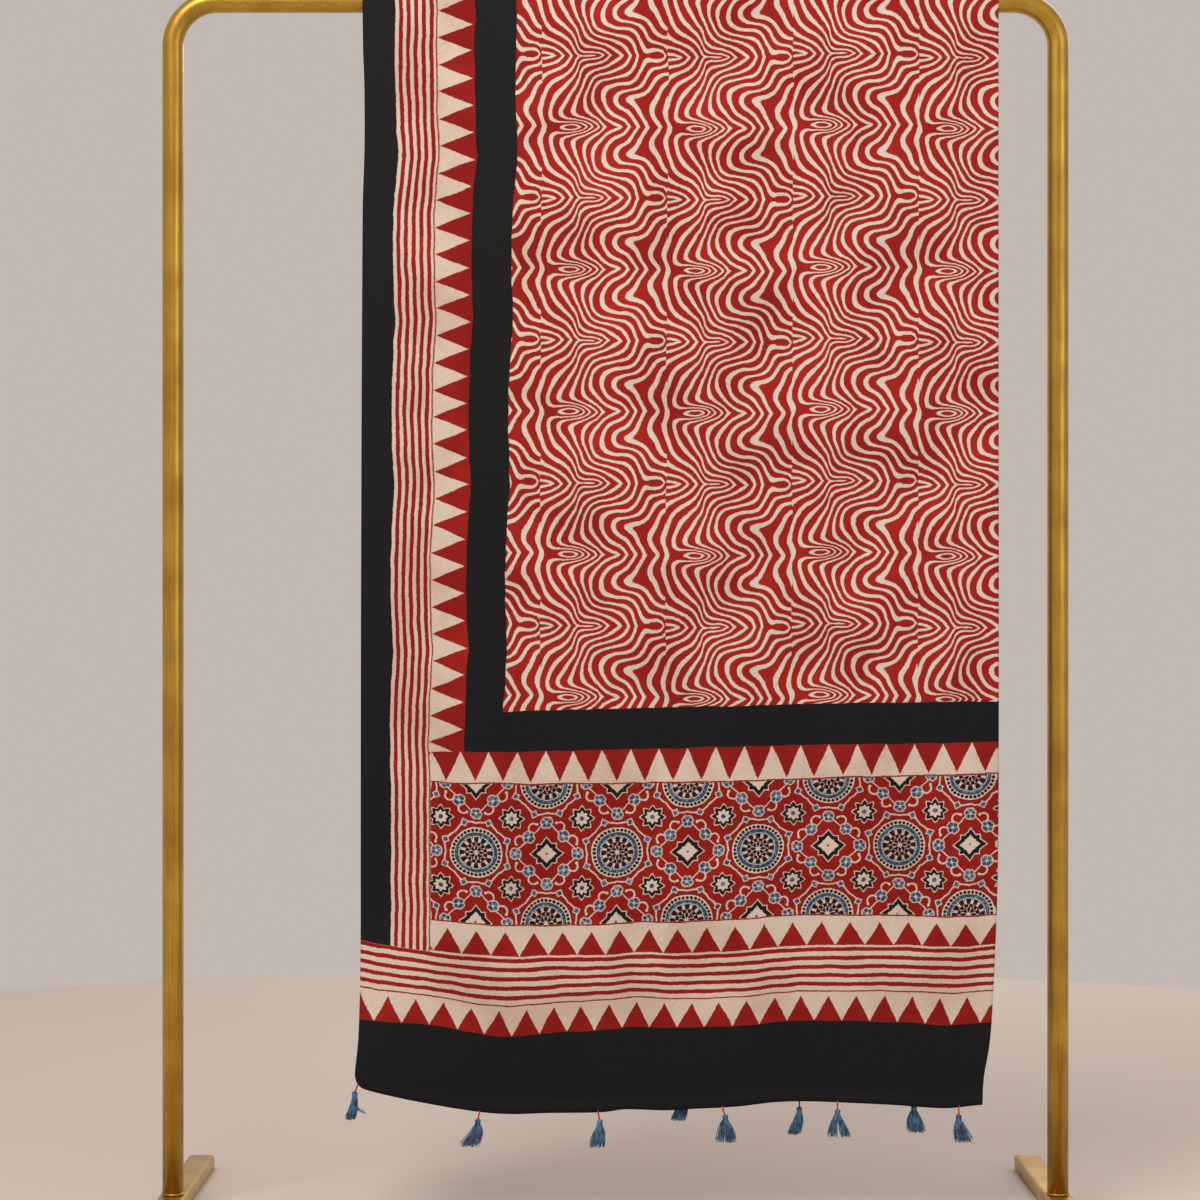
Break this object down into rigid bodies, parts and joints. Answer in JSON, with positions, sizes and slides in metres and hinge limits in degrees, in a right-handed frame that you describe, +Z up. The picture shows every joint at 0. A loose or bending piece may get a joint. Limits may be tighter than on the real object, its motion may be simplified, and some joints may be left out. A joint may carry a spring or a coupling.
{
  "type": "ajrakh cloth on a clothes rack",
  "caption": "Block-printed cotton cloth with tasselled ends, folded lengthwise and draped over the rail of a plain standing clothes rack.",
  "frame": {"origin": "centre of the rack's footprint, on the floor", "axes": "+Z up; the cloth's front faces -Y; +X to the right as seen from the front, towards the cloth's fold"},
  "size_m": [0.825, 0.38, 1.1056],
  "materials": {
    "printed_cotton": "matte printed cotton in red, cream, black and indigo",
    "gold_tube": "satin gold paint",
    "gold_bar": "satin gold paint",
    "blue_thread": "soft dyed cotton thread",
    "red_thread": "twisted cotton thread"
  },
  "bodies": {
    "root": {"cloth": "printed_cotton", "rack_hoop": "gold_tube", "rack_foot_left": "gold_bar", "rack_foot_right": "gold_bar", "tassel_front_01": "blue_thread", "tassel_front_02": "blue_thread", "tassel_front_03": "blue_thread", "tassel_front_04": "blue_thread", "tassel_front_05": "blue_thread", "tassel_front_06": "blue_thread", "tassel_front_07": "blue_thread", "tassel_front_08": "blue_thread", "tassel_front_09": "blue_thread", "tassel_front_10": "blue_thread", "tassel_front_11": "blue_thread", "tassel_front_12": "blue_thread", "tassel_back_01": "blue_thread", "tassel_back_02": "blue_thread", "tassel_back_03": "blue_thread", "tassel_back_04": "blue_thread", "tassel_back_05": "blue_thread", "tassel_back_06": "blue_thread", "tassel_back_07": "blue_thread", "tassel_back_08": "blue_thread", "tassel_back_09": "blue_thread", "tassel_back_10": "blue_thread", "tassel_back_11": "blue_thread", "tassel_back_12": "blue_thread", "tassel_loop_front_01": "red_thread", "tassel_loop_front_02": "red_thread", "tassel_loop_front_03": "red_thread", "tassel_loop_front_04": "red_thread", "tassel_loop_front_05": "red_thread", "tassel_loop_front_06": "red_thread", "tassel_loop_front_07": "red_thread", "tassel_loop_front_08": "red_thread", "tassel_loop_front_09": "red_thread", "tassel_loop_front_10": "red_thread", "tassel_loop_front_11": "red_thread", "tassel_loop_front_12": "red_thread", "tassel_loop_back_01": "red_thread", "tassel_loop_back_02": "red_thread", "tassel_loop_back_03": "red_thread", "tassel_loop_back_04": "red_thread", "tassel_loop_back_05": "red_thread", "tassel_loop_back_06": "red_thread", "tassel_loop_back_07": "red_thread", "tassel_loop_back_08": "red_thread", "tassel_loop_back_09": "red_thread", "tassel_loop_back_10": "red_thread", "tassel_loop_back_11": "red_thread", "tassel_loop_back_12": "red_thread"}
  },
  "joints": []
}
